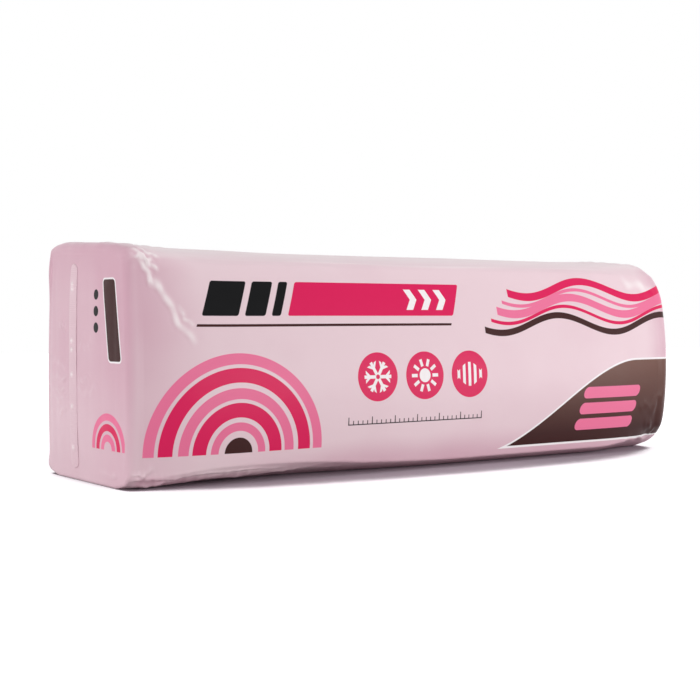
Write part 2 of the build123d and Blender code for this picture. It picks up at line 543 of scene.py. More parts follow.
def plain_film(rings, half_length, sizes):
    """Points of the film before its folds: the section of each ring, with some of its corners pulled sharp.

    The low corner is sharp up to the slack right end, and near the left end its belly side stays round.
    The high corner is pulled out a little along the bag, and square at the back left,
    where the top leans up towards the back. On a flat end each ring shrinks towards the seal.
    """
    station, inset, shrink, edge = rings
    section = HalfSection(section_sizes(rings, half_length, sizes), sizes.waist_height, inset)
    low_pull = 0.93 * (1.0 - smooth_step(station, 0.42, 0.58)) * (1.0 - 0.4 * inset / edge)
    low_kept = 0.44 * (1.0 - smooth_step(station, -0.45, -0.15))
    high_pull = 0.35 * (1.0 - smooth_step(np.abs(station), 0.40, 0.58))
    high_pull = high_pull + 0.18 * smooth_step(station, 0.45, 0.58)
    back_pull = high_pull + 0.7 * (1.0 - smooth_step(station, -0.60, -0.30))
    front_y, front_z = section.points(FRONT_COUNTS, low_pull, high_pull, low_kept)
    back_y, back_z = section.points(BACK_COUNTS, 0.4 * low_pull, back_pull, 0.0)
    across = np.concatenate([-front_y, back_y[:, -2:0:-1]], axis=1)
    level = np.concatenate([front_z, back_z[:, -2:0:-1]], axis=1)
    lean = (1.0 - smooth_step(station, -0.68, 0.15)) * smooth_step(across, 0.0, 0.14)
    level = level + BACK_LIFT * lean * smooth_step(level, 0.26, 0.37)
    middle_y = sizes.seal_offset * (shrink < 1.0)
    middle_z = 0.5 * sizes.crown
    across = middle_y + shrink * (across - middle_y)
    level = middle_z + shrink * (level - middle_z)
    return np.stack([station + 0.0 * across, across, level], axis=2)


def outward_normals(points, middle):
    """Unit normals of the film, square to both directions of its grid. On a flat end they point along X."""
    ahead = np.gradient(points, axis=0)
    around = np.roll(points, -1, axis=1) - np.roll(points, 1, axis=1)
    normal = np.cross(ahead, around)
    normal /= np.linalg.norm(normal, axis=2, keepdims=True)
    if np.sum(normal * (points - middle)) < 0:
        normal = -normal
    normal[:CAP_RINGS] = (-1.0, 0.0, 0.0)
    normal[-CAP_RINGS:] = (1.0, 0.0, 0.0)
    return normal


def film_girth(points, waist_height):
    """Metres up the girth of each ring, with the first column repeated past the seam.

    It is the length along the ring, shifted to equal the height above the floor at the front's waist.
    """
    level = points[:, :, 2]
    step = np.linalg.norm(np.diff(points[:, :, 1:], axis=1), axis=2)
    girth = np.concatenate([np.zeros((len(step), 1)), np.cumsum(step, axis=1)], axis=1)
    waist = np.argmin(np.abs(level[:, :FRONT_COLUMNS] - waist_height), axis=1)[:, None]
    girth = girth - np.take_along_axis(girth, waist, axis=1) + np.take_along_axis(level, waist, axis=1)
    closing = np.linalg.norm(points[:, 0, 1:] - points[:, -1, 1:], axis=1)[:, None]
    return np.concatenate([girth, girth[:, -1:] + closing], axis=1)


class FilmPlaces:
    """Where the points of the film lie: along the bag, through it, above the floor and up its girth.

    Up the back, the girth runs from the foot of the back. Shares of 1 and 0 say which face a point is on.
    """

    def __init__(self, points, girth):
        self.along, self.depth, self.rise = points[:, :, 0], points[:, :, 1], points[:, :, 2]
        self.up = girth[:, :-1]
        self.back_up = 2 * girth[:, FRONT_COLUMNS - 1 : FRONT_COLUMNS] - self.up
        ring = np.arange(len(points))[:, None]
        self.on_left = 1.0 * (ring < CAP_RINGS) + 0.0 * self.along
        self.on_right = 1.0 * (ring >= len(points) - CAP_RINGS) + 0.0 * self.along
        self.on_side = 1.0 - self.on_left - self.on_right
        self.on_front = self.on_side * (self.depth < 0)
        self.on_back = self.on_side - self.on_front


def film_folds(place):
    """Height of the folds and crumples of the film: the folds of each face, added up.

    A crumpled hem runs along the front's foot from the left end to the middle,
    and a crumpled spot lies at the front's top left corner.
    """
    along, up = place.along, place.up
    raised = np.zeros_like(along)
    for first, second, face, folds in (
        (along, up, place.on_front, SIDE_FOLDS),
        (along, place.back_up, place.on_back, BACK_FOLDS),
        (place.depth, place.rise, place.on_left, LEFT_END_FOLDS),
        (place.depth, place.rise, place.on_right, RIGHT_END_FOLDS),
    ):
        for start, stop, width, height in folds:
            raised += face * fold(first, second, start, stop, width, height)
    hem = place.on_front * (1.0 - smooth_step(np.abs(up - 0.004), 0.010, 0.026))
    hem *= smooth_step(along, -0.614, -0.590) * (1.0 - smooth_step(along, -0.30, 0.10))
    corner = place.on_front * bell(along, -0.582, 0.022) * bell(up, 0.372, 0.016)
    raised += hem * HEM_CRUMPLE * crumple(along, up, 5, 0.030, 0.010)
    raised += corner * CORNER_CRUMPLE * crumple(along, up, 8, 0.022, 0.008)
    return raised


def film_swells(place, rings, sizes):
    """Height of the slow forms of the film.

    The ends swell to their middle, and the batts show as faint ribs on the ends and the top.
    The top stands fuller near both ends, the back near the left end, and the side near the right end.
    The low edge of the left end is drawn out to a crisp corner, and slow unevenness lies over everything.
    """
    along, depth, rise = place.along, place.depth, place.rise
    ribs = np.abs(np.cos(np.pi * depth * len(BATT_NODES) / (2 * sizes.waist)))

    from_edge = smooth_step(1.0 - rings.shrink, 0.0, 0.15)
    cushion = from_edge * (sizes.end_swell * (1.0 - rings.shrink**2.5) + END_RIBS * ribs)
    raised = (place.on_left + place.on_right) * cushion

    flat_top = place.on_side * smooth_step(rise, 0.360, 0.380) * (1 - smooth_step(np.abs(depth), 0.11, 0.14))
    full_top = FULL_TOP_LEFT * bell(along, -0.44, 0.12) + FULL_TOP_RIGHT * smooth_step(along, 0.40, 0.56)
    raised += flat_top * (TOP_RIBS * ribs + full_top)

    at_left = 1.0 - smooth_step(along, -0.60, -0.35)
    raised += FULL_BACK * place.on_side * (depth > 0) * at_left * bell(rise, 0.355, 0.035)
    at_right = smooth_step(along, 0.50, 0.60) * (1.0 - smooth_step(np.abs(rise - 0.19), 0.10, 0.19))
    raised += FULL_RIGHT * place.on_side * at_right

    roll = np.arccos(1.0 - rings.inset / rings.edge)
    to_corner = rings.edge * (1.0 / np.cos(np.pi / 4 - np.abs(roll - np.pi / 4)) - 1.0)
    raised += 0.9 * to_corner * (rings.station < 0) * (1.0 - smooth_step(rise, 0.012, 0.050))

    uneven = slow_unevenness(along + depth, place.up, 11, 9, 0.55, 0.09)
    raised += sizes.undulation * uneven * (1.0 - 0.5 * smooth_step(1.0 - rings.shrink, 0.0, 0.12))
    return raised


def film_slack_and_highlight(place, folds):
    """Paler tone of the film, from 0 to 1: on the folds of the front, partly film off the wool and partly a
    painted highlight on the creases, and along the top, a painted sheen.
    """
    front = place.on_front * smooth_step(place.up, 0.02, 0.10)
    # Painted highlight on the crests of the folds, over film that stands off the wool
    fold_slack_and_highlight = np.clip(folds / 0.0022, 0.0, 1.0) * (front * 0.85 + 0.15)
    # Painted sheen along the top
    top_sheen = place.on_side * smooth_step(place.rise, 0.366, 0.376) * smooth_step(place.along, -0.600, -0.555)
    return np.maximum(fold_slack_and_highlight, 0.45 * top_sheen)


def film_depth_and_shade(place, half_length):
    """How deep the film's pink is, from 0 to 1.

    It is deepest beside the front's left and right edges, along its low edge, and on the ends, where it grows
    to the front and the top:
    partly film drawn tight over the wool's corners, and partly painted shade where these faces turn from the
    light or lie under the bag.
    It is paler at the top of the side, a painted sheen. Round the edge of an end, where the tones of side and
    end meet, it is pale: painted light over the shade of the rounded edge.
    """
    along, depth, rise, up = place.along, place.depth, place.rise, place.up
    # Painted shade beside the front's left and right edges, where they turn from the light, over film drawn
    # tight on the wool's corners
    left = smooth_step(-along, 0.46, 0.605) * (0.46 + 0.34 * smooth_step(up, 0.12, 0.30))
    right = 0.8 * smooth_step(along, 0.53, 0.61)
    # Painted shade along the low edge and on the belly under the bag
    low = 0.85 * (1.0 - smooth_step(up, 0.012, 0.075)) * smooth_step(along, -0.46, -0.20)
    low = np.maximum(low, 1.0 - smooth_step(rise, 0.010, 0.026))
    front = smooth_step(-depth, 0.06, 0.12)
    side = 0.25 + front * (np.clip(left + right + low, 0.0, 1.0) - 0.25)
    # Painted sheen: paler at the top of the side
    side -= 0.25 * smooth_step(rise, 0.35, 0.38)
    # Painted shade on the end, darker towards its top and its front
    end = 0.45 + 0.30 * smooth_step(rise, 0.08, 0.22) + 0.20 * smooth_step(rise, 0.28, 0.38)
    end += 0.20 * smooth_step(-depth, 0.00, 0.13)
    at_end = smooth_step(np.abs(along), half_length - 0.022, half_length - 0.001)
    # Paler round the edge of an end: painted light over the shade of the rounded edge
    return np.clip(side + at_end * (end - side) - 0.8 * at_end * (1.0 - at_end), 0.0, 1.0)


def film_surface(sizes):
    """Points, girth and tones of the film bag: one row for each ring, one column for each point round it.

    Folds and slow forms move the plain film along its normals, and nothing goes below the floor.
    """
    half_length = film_half_length(sizes)
    rings = bag_rings(half_length)
    points = plain_film(rings, half_length, sizes)
    normal = outward_normals(points, np.array([0.0, 0.0, 0.5 * sizes.crown]))
    girth = film_girth(points, sizes.waist_height)
    place = FilmPlaces(points, girth)
    folds = sizes.fold_height * film_folds(place)
    # The slack tone is partly a painted highlight and sheen, the deep tone partly painted shade
    tones = {"slack": film_slack_and_highlight(place, folds), "deep": film_depth_and_shade(place, half_length)}
    raised = sizes.film_proud + folds + film_swells(place, rings, sizes)
    points = points + normal * raised[:, :, None]
    points[:, :, 2] = np.maximum(points[:, :, 2], FLOOR_CLEARANCE)
    return points, girth, tones


def closed_grid(points):
    """Corner indices of a grid that closes round its columns, and of the fans to a pole beyond either end.

    The cells are numbered on a grid with its first column repeated, so that a map may run on past the seam.
    """
    rows, columns = points.shape[:2]
    row, column = np.meshgrid(np.arange(rows - 1), np.arange(columns), indexing="ij")
    first = (row * (columns + 1) + column).ravel()
    cells = np.stack([first, first + 1, first + columns + 2, first + columns + 1], axis=1)
    ring = np.arange(columns)
    beside = (ring + 1) % columns
    pole = np.full(columns, rows * columns)
    last = (rows - 1) * columns
    first_fan = np.stack([pole, beside, ring], axis=1)
    last_fan = np.stack([pole + 1, last + ring, last + beside], axis=1)
    fans = np.concatenate([first_fan, last_fan])
    corners = points.reshape(-1, 3)[cell_corners(cells, columns)]
    facing = np.cross(corners[:, 2] - corners[:, 0], corners[:, 3] - corners[:, 1])
    if np.sum(facing * (corners.mean(axis=1) - points.reshape(-1, 3).mean(axis=0))) < 0:
        cells, fans = cells[:, ::-1], fans[:, ::-1]
    return cells, fans


def cell_corners(cells, columns):
    """Corners of a mesh for cells that are numbered on a grid with its first column repeated."""
    return cells // (columns + 1) * columns + cells % (columns + 1) % columns


def closed_mesh(name, points, cells, fans):
    """Smooth mesh of a closed grid with a pole at the middle of its first and last ring."""
    verts = np.concatenate([points.reshape(-1, 3), [points[0].mean(axis=0), points[-1].mean(axis=0)]])
    mesh = bpy.data.meshes.new(name)
    mesh.from_pydata(verts.tolist(), [], cell_corners(cells, points.shape[1]).tolist() + fans.tolist())
    mesh.polygons.foreach_set("use_smooth", np.ones(len(mesh.polygons), dtype=bool))
    mesh.update()
    return mesh


def closed_bag_mesh(name, points, girth, tones):
    """Mesh of the film bag with its print map and the tones of its film.

    The print map gives metres along the bag and up its girth. On a flat end it gives metres across and up,
    shifted aside so that the ends have a print of their own.
    """
    rows, columns = points.shape[:2]
    cells, fans = closed_grid(points)
    mesh = closed_mesh(name, points, cells, fans)
    around = np.concatenate([points, points[:, :1]], axis=1).reshape(-1, 3)
    side_map = np.stack([around[:, 0], girth.ravel()], axis=1)
    end_map = np.stack([around[:, 1] + END_SHIFT * np.sign(around[:, 0]), around[:, 2]], axis=1)
    cell_row = cells.min(axis=1) // (columns + 1)
    on_end = (cell_row < CAP_RINGS) | (cell_row >= rows - 1 - CAP_RINGS)
    cell_map = np.where(on_end[:, None, None], end_map[cells], side_map[cells])
    poles = np.stack([points[0].mean(axis=0), points[-1].mean(axis=0)])
    corners = np.concatenate([points.reshape(-1, 3), poles])[fans]
    fan_map = np.stack([corners[:, :, 1] + END_SHIFT * np.sign(corners[:, :, 0]), corners[:, :, 2]], axis=2)
    chart = np.concatenate([cell_map.reshape(-1, 2), fan_map.reshape(-1, 2)])
    mesh.uv_layers.new(name="print").data.foreach_set("uv", chart.ravel())
    for tone, values in tones.items():
        set_tone(mesh, tone, values)
    return mesh


def set_tone(mesh, tone, values):
    """Give a closed mesh one number at each point of its grid, and none at its two poles."""
    layer = mesh.attributes.new(tone, "FLOAT", "POINT")
    layer.data.foreach_set("value", np.concatenate([values.ravel(), [0.0, 0.0]]))


# A fin seal, in metres: its margin to the end's edge, the length of its rounded tips, half its thickness,
# the lift of its middle off the film, and the height, length, width and levels of its puckers
SEAL_MARGIN = 0.006
SEAL_TIP = 0.012
SEAL_HALF_THICKNESS = 0.0011
SEAL_STAND = 0.0006
PUCKER_HEIGHT = 0.0020
PUCKER_LENGTH = 0.0036
PUCKER_WIDTH = 0.0046
PUCKER_LEVELS = (0.054, 0.124, 0.178, 0.220, 0.235, 0.322, 0.331)


def seal_strip(side, sizes):
    """Grid of one fin seal and a painted glint on its puckers: a flat loop carried up the end of the bag, on
    its swelled film.

    The loop is a flattened ellipse. Its width runs out to nil at both ends of the path by a quarter ellipse.
    Its free edge lifts off in a slow seeded wave, and round puckers stand along its welded middle.
    """
    end, seed = (LEFT_END, 21) if side < 0 else (RIGHT_END, 22)
    margin = end["edge"] + SEAL_MARGIN
    top = sizes.crown + end["lift"] - end["rise"] - margin
    level = np.linspace(margin, top, 200)[:, None]
    turn = np.linspace(0.0, 2 * np.pi, 36, endpoint=False)[None, :]
    from_tip = np.clip(np.minimum(level - margin, top - level) / SEAL_TIP, 0.0, 1.0)
    half_width = 0.5 * sizes.seal_width * np.sqrt(1.0 - (1.0 - from_tip) ** 2) + 0.0002
    share = np.cos(turn)
    across = share * half_width
    middle = 0.5 * sizes.crown
    from_middle = np.clip(np.abs(level - middle) / (middle - end["edge"]), 0.0, 1.0)
    swell = sizes.end_swell * (1.0 - from_middle**2.5)
    pucker = 0.0 * across
    for pucker_level in PUCKER_LEVELS:
        pucker = pucker + bell(level, pucker_level, PUCKER_LENGTH) * bell(across, 0.001, PUCKER_WIDTH)
    wave = slow_unevenness(level, 0.0 * level, seed, 6, 0.16, 0.03)
    lift = sizes.seal_lift * wave * smooth_step(-share, -0.3, 1.0) + PUCKER_HEIGHT * pucker
    film = film_half_length(sizes) + sizes.film_proud + swell
    out = film + SEAL_STAND + lift + SEAL_HALF_THICKNESS * np.sin(turn)
    points = np.stack([side * out, sizes.seal_offset + across, level + 0.0 * across], axis=2)
    # The puckers' share is a painted glint, laid as the seal's slack tone
    return points, np.clip(pucker, 0.0, 1.0)


def show(name, mesh, material):
    """A new object of the scene that shows a mesh in a material."""
    piece = bpy.data.objects.new(name, mesh)
    mesh.materials.append(material)
    bpy.context.scene.collection.objects.link(piece)
    return piece


class Mark:
    """A number at each point of a surface, worked out by Math nodes as it is written."""

    def __init__(self, tree, value):
        self.tree = tree
        self.value = value

    def work(self, kind, *others):
        node = self.tree.nodes.new("ShaderNodeMath")
        node.operation = kind
        for socket, item in zip(node.inputs, (self, *others)):
            value = item.value if isinstance(item, Mark) else item
            if isinstance(value, (int, float)):
                socket.default_value = value
            else:
                self.tree.links.new(value, socket)
        return Mark(self.tree, node.outputs[0])

    def __add__(self, other):
        return self.work("ADD", other)

    def __sub__(self, other):
        return self.work("SUBTRACT", other)

    def __rsub__(self, other):
        return Mark(self.tree, other).work("SUBTRACT", self)

    def __mul__(self, other):
        return self.work("MULTIPLY", other)

    def __truediv__(self, other):
        return self.work("DIVIDE", other)

    def size(self):
        return self.work("ABSOLUTE")

    def least(self, other):
        return self.work("MINIMUM", other)

    def most(self, other):
        return self.work("MAXIMUM", other)

    def sine(self):
        return self.work("SINE")

    def wrap(self, span):
        return self.work("WRAP", 0.5 * span, -0.5 * span)

    def inside(self, softness=0.0007):
        """1 where a distance is below nil, 0 where it is above, soft over a short way."""
        node = self.work("MULTIPLY_ADD", -1.0 / softness, 0.5)
        node.value.node.use_clamp = True
        return node


def reach(first, second):
    """Distance from nil of a point given by two marks."""
    return (first * first + second * second).work("SQRT")


def block(across, up, centre, half_size, radius):
    """Distance to an upright block with round corners: positive outside it, negative inside."""
    side = (across - centre[0]).size() - (half_size[0] - radius)
    height = (up - centre[1]).size() - (half_size[1] - radius)
    outer = reach(side.most(0.0), height.most(0.0))
    return outer + side.most(height).least(0.0) - radius


def chevron_row(across, up, centre, count, pitch, half_size):
    """Distance to a row of an odd count of chevrons that point along the bag."""
    rise = (up - centre[1]).size()
    slide = across + rise * 0.6 - centre[0]
    bars = slide.wrap(pitch).size() - half_size[0]
    return bars.most(rise - half_size[1]).most(slide.size() - 0.5 * count * pitch)


def snow_star(side, height, far):
    """Distance to a star of six arms, each with a pair of twigs."""
    turn = height.work("ARCTAN2", side).wrap(np.pi / 3)
    out, aside = far * turn.work("COSINE"), (far * turn.sine()).size()
    arm = (aside - 0.0030).most((out - 0.0165).size() - 0.0125)
    twig = ((aside - (out - 0.0165) * 0.9).size() - 0.0028).most((out - 0.02125).size() - 0.00475)
    return arm.least(twig)


def sun_disc(side, height, far):
    """Distance to a disc with ten short rays round it."""
    turn = height.work("ARCTAN2", side).wrap(np.pi / 5)
    out, aside = far * turn.work("COSINE"), (far * turn.sine()).size()
    return (aside - 0.0030).most((out - 0.0235).size() - 0.0065).least(far - 0.0125)


def sound_bars(side, height, far):
    """Distance to a row of five upright bars whose heights follow a wave."""
    bars = (side.wrap(0.013).size() - 0.0032).most(side.size() - 0.0300)
    return bars.most(height.size() - (side * 60.0).work("COSINE").size() * 0.016 - 0.006)


class Inks:
    """Inks laid one over another on a ground colour, each through a mask."""

    def __init__(self, tree, ground):
        self.tree = tree
        self.colour = ground

    def lay(self, mask, colour):
        mix = self.tree.nodes.new("ShaderNodeMix")
        mix.data_type = "RGBA"
        self.tree.links.new(mask.value, mix.inputs["Factor"])
        for value, socket in ((self.colour, mix.inputs["A"]), (colour, mix.inputs["B"])):
            if isinstance(value, bpy.types.NodeSocket):
                self.tree.links.new(value, socket)
            else:
                socket.default_value = (*value, 1.0)
        self.colour = mix.outputs["Result"]


# The print map of the front ends here, and that of the ends lies beyond
PRINT_END = 1.0


def print_headline(inks, across, up, colours):
    """A leaning row of three black blocks and a magenta bar with white chevrons, over a thin brown rule."""
    level, half_height, corner = 0.308, 0.030, 0.004
    lean = across - (up - level) * 0.4
    for place, half_width, colour in (
        (-0.445, 0.034, colours.black),
        (-0.379, 0.020, colours.black),
        (-0.338, 0.009, colours.black),
        (-0.135, 0.180, colours.magenta),
    ):
        inks.lay(block(lean, up, (place, level), (half_width, half_height), corner).inside(), colour)
    inks.lay(chevron_row(across, up, (-0.020, level), 3, 0.034, (0.0075, 0.019)).inside(), colours.white)
    inks.lay(block(lean, up, (-0.219, 0.262), (0.264, 0.0022), 0.001).inside(), colours.chocolate)


def print_arcs(inks, across, up, middle, bands):
    """Half rings above their middle: each band lies within a half width of its radius."""
    far = reach(across - middle[0], up - middle[1])
    for radius, half_width, colour in bands:
        inks.lay(((far - radius).size() - half_width).most(middle[1] - up).inside(), colour)


def print_pictures(inks, across, up, colours):
    """A row of three magenta discs, each with a white picture on it."""
    for place, picture in ((-0.150, snow_star), (-0.045, sun_disc), (0.060, sound_bars)):
        side, height = across - place, up - 0.170
        far = reach(side, height)
        inks.lay((far - 0.043).inside(), colours.magenta)
        inks.lay(picture(side, height, far).inside(), colours.white)


def print_tick_rule(inks, across, up, colours):
    """A black line with a short tick at each centimetre and a longer one at every fifth."""
    slide, height, half_line = across + 0.062, up - 0.088, 0.0009
    past_end = slide.size() - 0.1512
    inks.lay((height.size() - half_line).most(past_end).inside(), colours.black)
    for pitch, length in ((0.010, 0.007), (0.050, 0.013)):
        tick = (slide.wrap(pitch).size() - half_line).most((height - 0.5 * length).size() - 0.5 * length)
        inks.lay(tick.most(past_end).inside(), colours.black)


def print_strands(inks, across, up, colours):
    """Five strands that run off at the right: sine waves along the bag, each with a phase of its own."""
    for shift, phase, half_width, colour in (
        (0.036, 0.0, 0.0080, colours.magenta),
        (0.018, 0.4, 0.0034, colours.rose),
        (0.002, 0.8, 0.0080, colours.rose),
        (-0.016, 1.2, 0.0034, colours.magenta),
        (-0.034, 1.6, 0.0062, colours.chocolate),
    ):
        wave = (across * 21.0 + phase).sine() * 0.017
        strand = (up - (0.296 + shift) - wave).size() - half_width
        inks.lay(strand.most(0.140 + shift - across).most(across - PRINT_END).inside(), colour)


def print_sweep(inks, across, up, colours):
    """A brown field under a smooth rising crest, edged in white, paler higher up, with three rose slabs."""
    climb = ((across - 0.070) / 0.440).most(0.0).least(1.0)
    crest = climb * climb * (3.0 - climb * 2.0) * 0.175 + 0.012
    sweep = (up - crest).most(0.030 - up).most(across - PRINT_END)
    inks.lay((sweep - 0.0040).inside(), colours.white)
    inks.lay(sweep.inside(), colours.chocolate)
    inks.lay(sweep.inside() * ((up - 0.050) / 0.150).most(0.0).least(1.0), colours.cocoa)
    slab = up - 0.094
    slabs = block(across - slab * 0.35, slab.wrap(0.031), (0.425, 0.0), (0.082, 0.0112), 0.0105)
    inks.lay(slabs.most(slab.size() - 0.0465).inside(), colours.rose)


def print_front(inks, across, up, colours):
    """Print of the bag's front, whose later inks cover the earlier ones."""
    print_headline(inks, across, up, colours)
    bands = (
        (0.155, 0.0090, colours.rose),
        (0.128, 0.0120, colours.magenta),
        (0.098, 0.0090, colours.rose),
        (0.071, 0.0120, colours.magenta),
        (0.044, 0.0070, colours.rose),
        (0.0, 0.0260, colours.chocolate),
    )
    print_arcs(inks, across, up, (-0.430, 0.052), bands)
    print_pictures(inks, across, up, colours)
    print_tick_rule(inks, across, up, colours)
    print_strands(inks, across, up, colours)
    print_sweep(inks, across, up, colours)


def print_end(inks, across, up, colours):
    """Print of the bag's left end: a leaning brown plate edged in white, a column of dots and small arcs."""
    lean = across - (up - 0.270) * 0.16
    plate = block(lean, up, (-0.108, 0.270), (0.020, 0.066), 0.006)
    inks.lay((plate - 0.0028).inside(), colours.white)
    inks.lay(plate.inside(), colours.chocolate)
    for level in (0.312, 0.285, 0.258):
        inks.lay((reach(across + 0.052, up - level) - 0.0085).inside(), colours.black)
    bands = ((0.054, 0.0058, colours.rose), (0.037, 0.0058, colours.magenta), (0.020, 0.0058, colours.rose))
    print_arcs(inks, across, up, (-0.092, 0.060), bands)


# Metres from crimp to crimp of the welding bar
CRIMP_PITCH = 0.0032


def film_material(name, colours, printed):
    """Film of the bag: satin polyethylene in pale pink.

    It is paler on the folds of the front and along its top, partly film off the wool and partly painted
    highlight and sheen, and deeper over the wool's corners, along its low edge and on the ends, partly tight
    film and partly painted shade. On the seals' puckers a glint is painted.
    The printed film carries its inks. The plain film of the seals has the fine crimps of the welding bar.
    """
    material = bpy.data.materials.new(name)
    material.use_nodes = True
    tree = material.node_tree
    nodes, links = tree.nodes, tree.links
    shader = nodes["Principled BSDF"]
    shader.inputs["Specular IOR Level"].default_value = 0.13
    shader.inputs["IOR"].default_value = 1.5
    place = nodes.new("ShaderNodeTexCoord").outputs["Object"]

    def noise(scale, detail, stretch):
        mapping = nodes.new("ShaderNodeMapping")
        mapping.inputs["Scale"].default_value = stretch
        links.new(place, mapping.inputs["Vector"])
        texture = nodes.new("ShaderNodeTexNoise")
        texture.inputs["Scale"].default_value = scale
        texture.inputs["Detail"].default_value = detail
        links.new(mapping.outputs["Vector"], texture.inputs["Vector"])
        return Mark(tree, texture.outputs["Fac"])

    def tone(attribute):
        reader = nodes.new("ShaderNodeAttribute")
        reader.attribute_name = attribute
        return Mark(tree, reader.outputs["Fac"])

    cloud = noise(5.0, 3.0, (1.0, 1.0, 1.0))
    ripple = noise(60.0, 4.0, (0.35, 1.0, 1.0))
    relief = ripple + cloud * 2.0
    inks = Inks(tree, colours.film)
    blush = (cloud - 0.5) * 0.7
    if printed:
        split = nodes.new("ShaderNodeSeparateXYZ")
        chart = nodes.new("ShaderNodeUVMap")
        chart.uv_map = "print"
        links.new(chart.outputs["UV"], split.inputs["Vector"])
        across, up = Mark(tree, split.outputs["X"]), Mark(tree, split.outputs["Y"])
        # Deep tone, partly painted shade, then slack tone, partly painted highlight and sheen
        inks.lay((tone("deep") + blush).most(0.0).least(1.0), colours.deep_and_shaded_film)
        inks.lay(tone("slack"), colours.slack_and_highlight_film)
        print_front(inks, across, up, colours)
        print_end(inks, across + END_SHIFT, up, colours)
    else:
        split = nodes.new("ShaderNodeSeparateXYZ")
        links.new(place, split.inputs["Vector"])
        crimp = (Mark(tree, split.outputs["Z"]) * (2 * np.pi / CRIMP_PITCH)).sine()
        relief = relief + crimp * 0.35
        # Seal film partway to the deep tone, which paints shade on the ends
        inks.lay((blush + 0.40).most(0.0).least(1.0), colours.deep_and_shaded_film)
        # Painted glint on the seal's puckers
        inks.lay(tone("slack"), colours.slack_and_highlight_film)

    links.new(inks.colour, shader.inputs["Base Color"])
    links.new((ripple * 0.14 + 0.27).value, shader.inputs["Roughness"])
    bump = nodes.new("ShaderNodeBump")
    bump.inputs["Strength"].default_value = 0.22
    bump.inputs["Distance"].default_value = 0.0015
    links.new(relief.value, bump.inputs["Height"])
    links.new(bump.outputs["Normal"], shader.inputs["Normal"])
    return material


def wool_material(name, colours):
    """Glass wool: pink, matt, with fine fibres drawn along the batt and soft clumps."""
    material = bpy.data.materials.new(name)
    material.use_nodes = True
    tree = material.node_tree
    nodes, links = tree.nodes, tree.links
    shader = nodes["Principled BSDF"]
    shader.inputs["Roughness"].default_value = 0.95
    shader.inputs["Sheen Weight"].default_value = 0.4
    shader.inputs["Specular IOR Level"].default_value = 0.1
    place = nodes.new("ShaderNodeTexCoord").outputs["Object"]
    mapping = nodes.new("ShaderNodeMapping")
    mapping.inputs["Scale"].default_value = (0.15, 1.0, 0.4)
    links.new(place, mapping.inputs["Vector"])
    fibre = nodes.new("ShaderNodeTexNoise")
    fibre.inputs["Scale"].default_value = 420.0
    fibre.inputs["Detail"].default_value = 6.0
    links.new(mapping.outputs["Vector"], fibre.inputs["Vector"])
    clump = nodes.new("ShaderNodeTexNoise")
    clump.inputs["Scale"].default_value = 22.0
    clump.inputs["Detail"].default_value = 4.0
    links.new(place, clump.inputs["Vector"])
    ramp = nodes.new("ShaderNodeValToRGB")
    pink = np.array(colours.wool)
    ramp.color_ramp.elements[0].color = (*(0.72 * pink), 1.0)
    ramp.color_ramp.elements[1].color = (*np.minimum(1.12 * pink, 1.0), 1.0)
    blend = Mark(tree, fibre.outputs["Fac"]) * 0.6 + Mark(tree, clump.outputs["Fac"]) * 0.4
    links.new(blend.value, ramp.inputs["Fac"])
    links.new(ramp.outputs["Color"], shader.inputs["Base Color"])
    bump = nodes.new("ShaderNodeBump")
    bump.inputs["Strength"].default_value = 0.6
    bump.inputs["Distance"].default_value = 0.002
    links.new(blend.value, bump.inputs["Height"])
    links.new(bump.outputs["Normal"], shader.inputs["Normal"])
    return material


class OBJECT_OT_batt_bag_film(Operator):
    """Build the printed film bag and lay it over its CAD shell"""

    bl_idname = "object.batt_bag_film"
    bl_label = "Film bag"

    def execute(self, context):
        settings = context.scene.batt_bag
        mesh = closed_bag_mesh("film_bag", *film_surface(settings.sizes))
        bag = show("film_bag", mesh, film_material("printed_film", settings.colours, True))
        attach(bag, "root")
        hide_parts("bag_film")
        return {"FINISHED"}


class OBJECT_OT_batt_bag_seals(Operator):
    """Lay a fin seal up each end, a little behind its middle"""

    bl_idname = "object.batt_bag_seals"
    bl_label = "Fin seals"

    def execute(self, context):
        settings = context.scene.batt_bag
        film = film_material("seal_film", settings.colours, False)
        for side, name in ((-1, "fin_seal_left"), (1, "fin_seal_right")):
            points, slack = seal_strip(side, settings.sizes)
            mesh = closed_mesh(name, points, *closed_grid(points))
            # The seal's slack tone paints a glint on its puckers
            set_tone(mesh, "slack", slack)
            seal = show(name, mesh, film)
            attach(seal, "root")
        return {"FINISHED"}


class OBJECT_OT_batt_bag_wool(Operator):
    """Give the batts inside the bag their pink glass wool"""

    bl_idname = "object.batt_bag_wool"
    bl_label = "Batts"

    def execute(self, context):
        wool = wool_material("glass_wool", context.scene.batt_bag.colours)
        for name in BATT_NODES:
            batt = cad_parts[name]
            batt.data.materials.clear()
            batt.data.materials.append(wool)
        return {"FINISHED"}


def seen_rays(tree):
    """1 for rays from the camera, a mirror or a clear body, and 0 for rays that light other surfaces."""
    path = tree.nodes.new("ShaderNodeLightPath").outputs
    seen = Mark(tree, path["Is Camera Ray"]).most(Mark(tree, path["Is Glossy Ray"]))
    return seen.most(Mark(tree, path["Is Transmission Ray"]))


